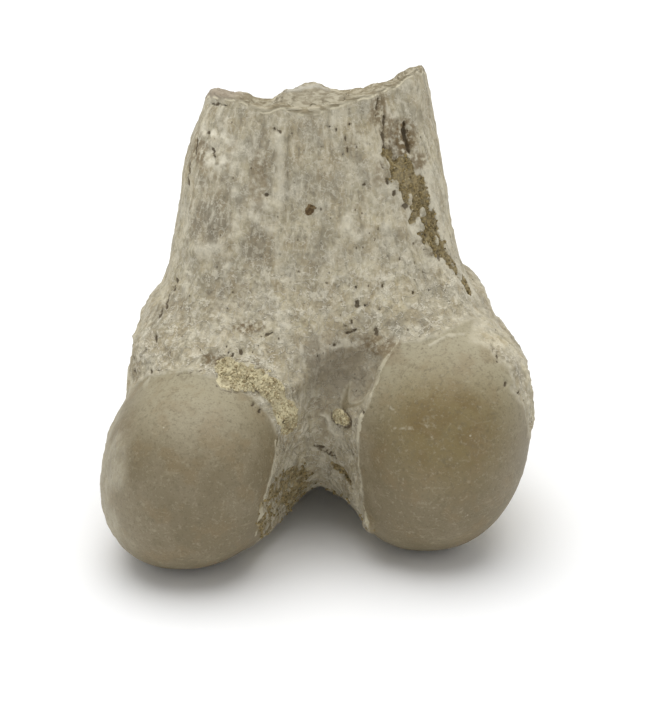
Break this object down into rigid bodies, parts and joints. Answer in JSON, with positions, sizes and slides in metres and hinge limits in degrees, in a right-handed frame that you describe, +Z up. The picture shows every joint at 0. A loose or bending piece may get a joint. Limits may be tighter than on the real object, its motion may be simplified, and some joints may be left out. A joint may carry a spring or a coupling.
{
  "type": "fossil oreodont femur end",
  "caption": "Broken-off far end of a fossil oreodont thigh bone: rounded condyles, the notch between them, kneecap groove and a stub of shaft, standing on its joint end.",
  "frame": {"origin": "middle of the bone's bounding box in X and Y, at the level that it stands on", "axes": "+X towards the bone's outer (lateral) side, +Y towards its front, where the kneecap groove is, +Z up along the shaft"},
  "size_m": [0.0401, 0.0384, 0.043],
  "materials": {
    "fossil_bone": "dull, chalky and finely pored on the shaft, smoother and slightly glossy on the joint surfaces"
  },
  "bodies": {
    "root": {"thigh_bone_end": "fossil_bone"}
  },
  "joints": []
}
